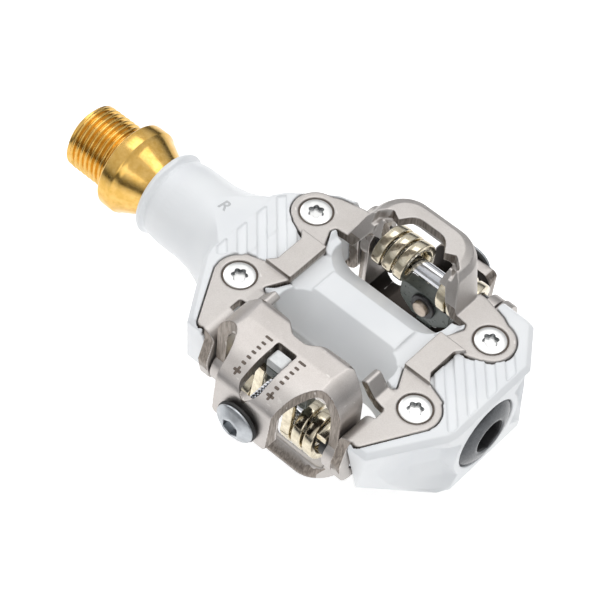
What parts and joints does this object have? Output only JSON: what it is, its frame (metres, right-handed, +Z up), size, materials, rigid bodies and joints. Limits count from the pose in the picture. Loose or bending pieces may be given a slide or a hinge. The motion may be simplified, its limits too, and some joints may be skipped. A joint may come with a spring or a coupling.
{
  "type": "clipless pedal",
  "caption": "Double-sided clipless pedal with a catch loop, a sprung claw and a tension bolt on each face, turning on a threaded spindle.",
  "frame": {"origin": "on the spindle axis, at the flange face that seats against the crank", "axes": "+X along the spindle away from the crank, +Y forward, +Z up through the top cleat face"},
  "size_m": [0.1043, 0.0738, 0.0364],
  "materials": {
    "white_paint": "satin cool-white paint over an aluminium casting",
    "steel_plate": "bead-blasted warm grey steel",
    "claw_steel": "bead-blasted warm grey steel with brushed edges",
    "chrome": "polished",
    "zinc": "bright zinc plating",
    "gold": "gold titanium nitride coating over steel",
    "spring_steel": "pale nickel plating",
    "black_rubber": "matt",
    "black_plastic": "matt black",
    "bronze": "sintered bronze",
    "bearing_steel": "ground",
    "block_dark": "dark grey-green phosphate",
    "indicator_white": "white",
    "cap_dark": "dark grey anodised"
  },
  "bodies": {
    "spindle": {"spindle_axle": "gold", "bearing_inner_ring": "bearing_steel", "spindle_locknut": "zinc"},
    "bearing_cage_set": {"bearing_balls": "bearing_steel", "bearing_cage": "bronze"},
    "pedal_body": {"body_frame": "white_paint", "lip_seal": "black_rubber", "inboard_bush": "bronze", "bearing_outer_ring": "bearing_steel", "end_cap": "cap_dark", "end_cap_ring": "black_rubber", "top_cleat_plate": "steel_plate", "top_plate_screws": "zinc", "top_pivot_pin": "chrome", "top_spring_bushes": "black_plastic", "top_spring_outboard": "spring_steel", "top_spring_inboard": "spring_steel", "bottom_cleat_plate": "steel_plate", "bottom_plate_screws": "zinc", "bottom_pivot_pin": "chrome", "bottom_spring_bushes": "black_plastic", "bottom_spring_outboard": "spring_steel", "bottom_spring_inboard": "spring_steel"},
    "top_claw": {"top_claw": "claw_steel", "top_bolt_washer": "black_plastic"},
    "top_bolt": {"top_tension_bolt": "chrome"},
    "top_block": {"top_tension_block": "block_dark", "top_tension_indicator": "indicator_white"},
    "bottom_claw": {"bottom_claw": "claw_steel", "bottom_bolt_washer": "black_plastic"},
    "bottom_bolt": {"bottom_tension_bolt": "chrome"},
    "bottom_block": {"bottom_tension_block": "block_dark", "bottom_tension_indicator": "indicator_white"}
  },
  "joints": [
    {"name": "pedal_spin", "type": "hinge", "parent": "spindle", "child": "pedal_body", "pos_m": [0.0608, 0, 0], "axis": [1, 0, 0], "continuous": true},
    {"name": "cage_roll", "type": "hinge", "parent": "spindle", "child": "bearing_cage_set", "pos_m": [0.0788, 0, 0], "axis": [1, 0, 0], "continuous": true},
    {"name": "top_claw_hinge", "type": "hinge", "parent": "pedal_body", "child": "top_claw", "pos_m": [0.0608, -0.0214, 0], "axis": [1, 0, 0], "range_deg": [0, 14], "stiffness_Nm_per_rad": 4, "springref_deg": -17.19, "deforming": ["top_spring_outboard", "top_spring_inboard"]},
    {"name": "top_bolt_turn", "type": "hinge", "parent": "top_claw", "child": "top_bolt", "pos_m": [0.0608, -0.035, 0.0086], "axis": [0, 1, 0], "range_deg": [0, 2570]},
    {"name": "top_block_slide", "type": "slide", "parent": "top_claw", "child": "top_block", "axis": [0, -1, 0], "range_m": [0, 0.005], "deforming": ["top_spring_outboard", "top_spring_inboard"]},
    {"name": "bottom_claw_hinge", "type": "hinge", "parent": "pedal_body", "child": "bottom_claw", "pos_m": [0.0608, 0.0214, 0], "axis": [1, 0, 0], "range_deg": [0, 14], "stiffness_Nm_per_rad": 4, "springref_deg": -17.19, "deforming": ["bottom_spring_outboard", "bottom_spring_inboard"]},
    {"name": "bottom_bolt_turn", "type": "hinge", "parent": "bottom_claw", "child": "bottom_bolt", "pos_m": [0.0608, 0.035, -0.0086], "axis": [0, -1, 0], "range_deg": [0, 2570]},
    {"name": "bottom_block_slide", "type": "slide", "parent": "bottom_claw", "child": "bottom_block", "axis": [0, 1, 0], "range_m": [0, 0.005], "deforming": ["bottom_spring_outboard", "bottom_spring_inboard"]}
  ],
  "couplings": [
    {"joint": "cage_roll", "follows": "pedal_spin", "ratio": 0.6},
    {"joint": "top_block_slide", "follows": "top_bolt_turn", "m_per_rad": 0.00011141},
    {"joint": "bottom_block_slide", "follows": "bottom_bolt_turn", "m_per_rad": 0.00011141}
  ]
}
